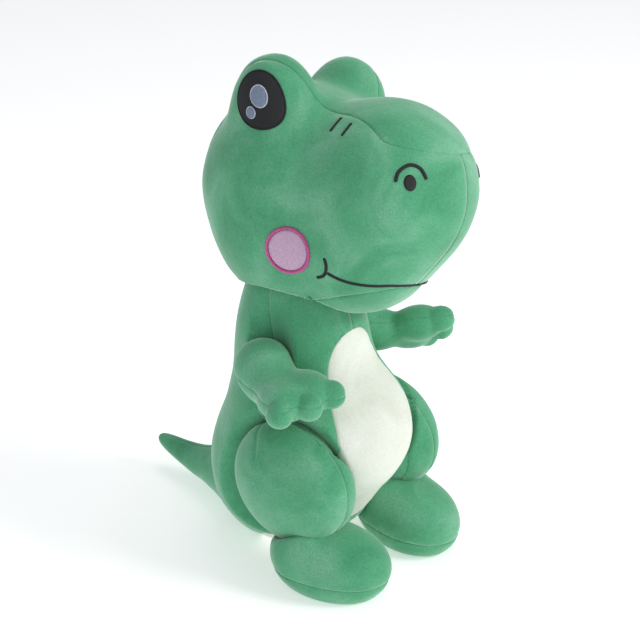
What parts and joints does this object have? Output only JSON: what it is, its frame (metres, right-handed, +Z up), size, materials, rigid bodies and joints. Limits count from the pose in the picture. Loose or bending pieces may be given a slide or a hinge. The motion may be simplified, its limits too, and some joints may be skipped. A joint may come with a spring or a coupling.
{
  "type": "plush toy",
  "caption": "Stuffed plush dinosaur that sits upright, with a large tilted head, small arms, thick thighs, flat-soled feet, a cone-shaped tail and an embroidered face.",
  "frame": {"origin": "a point of the flat underside of the base, on the middle plane of the body, at floor level", "axes": "+Z up, the toy faces -Y, its right side is -X"},
  "size_m": [0.247, 0.3355, 0.4455],
  "materials": {
    "green_plush": "short velvety pile, pale sheen at the edges, mottled nap",
    "cream_plush": "short velvety pile",
    "embroidery_black": "satin stitch, slightly glossy",
    "eye_glint": "satin stitch, slightly glossy",
    "cheek_pink": "satin stitch in fine rows",
    "cheek_rose": "satin stitch",
    "wadding": "loose white fibre"
  },
  "bodies": {
    "torso": {"chest_panel_right": "green_plush", "chest_panel_left": "green_plush", "back_panel_right": "green_plush", "back_panel_left": "green_plush", "belly_panel": "cream_plush", "base_panel": "cream_plush", "torso_stuffing": "wadding"},
    "head": {"head_side_panel_right": "green_plush", "head_side_panel_left": "green_plush", "crown_gusset": "green_plush", "chin_gusset": "green_plush", "head_stuffing": "wadding", "eye_patch_right": "embroidery_black", "eye_patch_left": "embroidery_black", "eye_glints_right": "eye_glint", "eye_glints_left": "eye_glint", "cheek_pad_right": "cheek_pink", "cheek_pad_left": "cheek_pink", "cheek_ring_right": "cheek_rose", "cheek_ring_left": "cheek_rose", "nostril_dot_right": "embroidery_black", "nostril_dot_left": "embroidery_black", "nostril_arc_right": "embroidery_black", "nostril_arc_left": "embroidery_black", "brow_stitches_right": "embroidery_black", "brow_stitches_left": "embroidery_black", "mouth_stitch_right": "embroidery_black", "mouth_stitch_left": "embroidery_black"},
    "arm_right": {"arm_upper_panel_right": "green_plush", "arm_under_panel_right": "green_plush", "arm_stuffing_right": "wadding"},
    "arm_left": {"arm_upper_panel_left": "green_plush", "arm_under_panel_left": "green_plush", "arm_stuffing_left": "wadding"},
    "leg_right": {"leg_outer_panel_right": "green_plush", "leg_gusset_right": "green_plush", "leg_inner_panel_right": "green_plush", "leg_stuffing_right": "wadding", "foot_top_right": "green_plush", "foot_sole_right": "green_plush", "foot_stuffing_right": "wadding"},
    "leg_left": {"leg_outer_panel_left": "green_plush", "leg_gusset_left": "green_plush", "leg_inner_panel_left": "green_plush", "leg_stuffing_left": "wadding", "foot_top_left": "green_plush", "foot_sole_left": "green_plush", "foot_stuffing_left": "wadding"},
    "tail": {"tail_panel_right": "green_plush", "tail_panel_left": "green_plush", "tail_stuffing": "wadding"}
  },
  "joints": [
    {"name": "neck_tilt", "type": "hinge", "parent": "torso", "child": "head", "pos_m": [0, 0.01, 0.236], "axis": [0, 1, 0], "range_deg": [-12, 12], "stiffness_Nm_per_rad": 4},
    {"name": "shoulder_right", "type": "hinge", "parent": "torso", "child": "arm_right", "pos_m": [-0.062, 0.006, 0.192], "axis": [0.9703, -0.2419, 0], "range_deg": [-30, 2], "stiffness_Nm_per_rad": 0.2},
    {"name": "shoulder_left", "type": "hinge", "parent": "torso", "child": "arm_left", "pos_m": [0.062, 0.006, 0.192], "axis": [0.5547, 0.6161, -0.5592], "range_deg": [-25, 4], "stiffness_Nm_per_rad": 0.2},
    {"name": "hip_right", "type": "hinge", "parent": "torso", "child": "leg_right", "pos_m": [-0.064, -0.023, 0.092], "axis": [1, 0, 0], "range_deg": [-25, 0], "stiffness_Nm_per_rad": 1.2},
    {"name": "hip_left", "type": "hinge", "parent": "torso", "child": "leg_left", "pos_m": [0.064, -0.023, 0.092], "axis": [1, 0, 0], "range_deg": [-25, 0], "stiffness_Nm_per_rad": 1.2},
    {"name": "tail_wag", "type": "hinge", "parent": "torso", "child": "tail", "pos_m": [0, 0.088, 0.0294], "axis": [0, 0, 1], "range_deg": [-20, 20], "stiffness_Nm_per_rad": 0.4}
  ]
}
